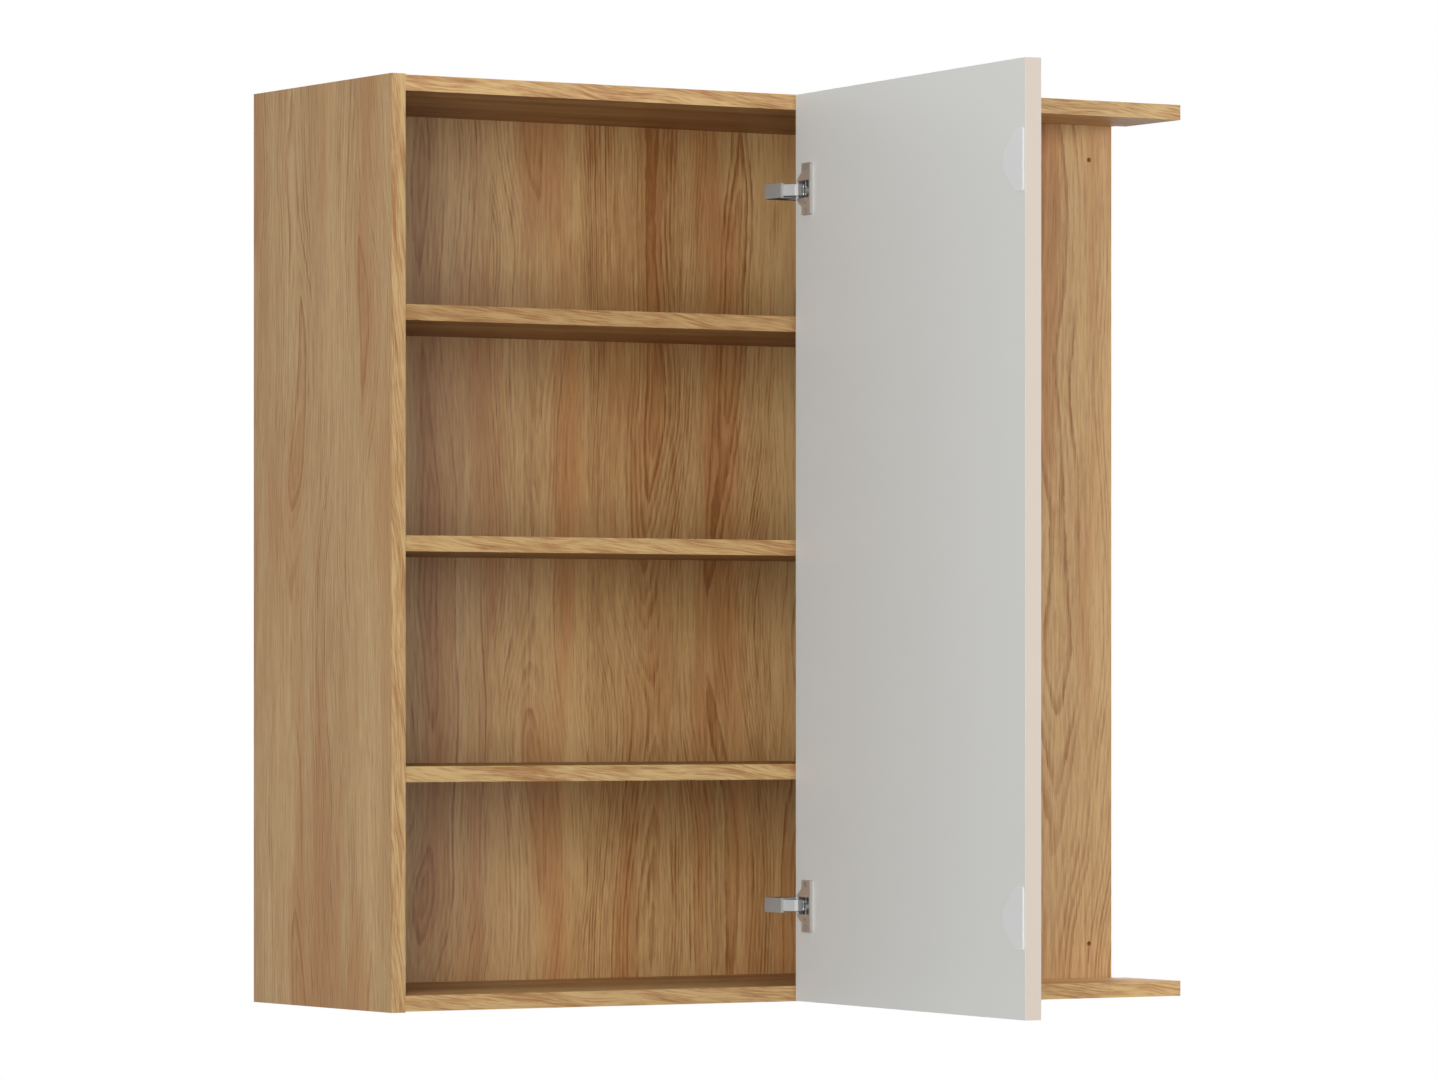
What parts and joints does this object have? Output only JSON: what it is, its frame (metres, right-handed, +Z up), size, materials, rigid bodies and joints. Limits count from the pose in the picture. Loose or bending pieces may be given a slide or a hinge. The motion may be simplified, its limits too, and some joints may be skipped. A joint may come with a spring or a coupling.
{
  "type": "wall cabinet",
  "caption": "Tall hanging wall cabinet for a corner: shelves behind a side-hinged door that stands open, a fixed blind panel at the right and return boards that meet the next cabinet.",
  "frame": {"origin": "on the wall plane, at the middle of the overall width and at the underside of the left side", "axes": "+X to the right along the wall as seen from the room, +Y into the wall (the open front faces -Y), +Z up"},
  "size_m": [0.9, 0.7957, 0.95],
  "materials": {
    "oak_board": "melamine board with an oak print and a light grain",
    "pale_laminate": "chipboard with a pale matt laminate",
    "edge_band": "satin band in a warm light beige",
    "white_plastic": "satin white",
    "nickel_plated_steel": "nickel plated",
    "zinc": "zinc plated",
    "beech": "bare beech"
  },
  "bodies": {
    "carcass": {"left_side": "oak_board", "right_side": "oak_board", "top_panel": "oak_board", "bottom_panel": "oak_board", "back_panel": "oak_board", "blind_panel": "oak_board", "shelf_lower": "oak_board", "shelf_middle": "oak_board", "shelf_upper": "oak_board", "shelf_pins": "zinc", "return_board_top": "oak_board", "return_board_bottom": "oak_board", "return_upright": "oak_board", "hinge_arm_upper": "nickel_plated_steel", "hinge_arm_lower": "nickel_plated_steel", "link_pins": "zinc", "hinge_plate_upper": "zinc", "hinge_plate_lower": "zinc", "plate_screws": "nickel_plated_steel", "arm_screws": "nickel_plated_steel", "hanger_left": "zinc", "hanger_right": "zinc", "hanger_hook_left": "nickel_plated_steel", "hanger_hook_right": "nickel_plated_steel", "hanger_screws": "nickel_plated_steel", "cam_bolts": "zinc", "cam_locks": "zinc", "carcass_dowels": "beech", "blind_dowels": "beech", "return_dowels": "beech", "board_screws": "nickel_plated_steel"},
    "door": {"door_panel": "pale_laminate", "door_edge_bands": "edge_band", "cover_cap_upper": "white_plastic", "cover_cap_lower": "white_plastic", "hinge_cup_upper": "nickel_plated_steel", "hinge_cup_lower": "nickel_plated_steel", "hinge_pins": "zinc", "cup_screws": "nickel_plated_steel"},
    "upper_link": {"hinge_link_upper": "zinc"},
    "lower_link": {"hinge_link_lower": "zinc"}
  },
  "joints": [
    {"name": "door_swing", "type": "hinge", "parent": "carcass", "child": "door", "pos_m": [0.0369, -0.3112, 0.475], "axis": [0, 0, 1], "range_deg": [-85.2, 9.8]},
    {"name": "upper_link_turn", "type": "hinge", "parent": "carcass", "child": "upper_link", "pos_m": [0.0224, -0.2972, 0.8485], "axis": [0, 0, 1], "range_deg": [-1.6, 13]},
    {"name": "lower_link_turn", "type": "hinge", "parent": "carcass", "child": "lower_link", "pos_m": [0.0224, -0.2972, 0.1015], "axis": [0, 0, 1], "range_deg": [-1.6, 13]}
  ],
  "couplings": [
    {"joint": "upper_link_turn", "follows": "door_swing", "ratio": -0.15},
    {"joint": "lower_link_turn", "follows": "door_swing", "ratio": -0.15}
  ]
}
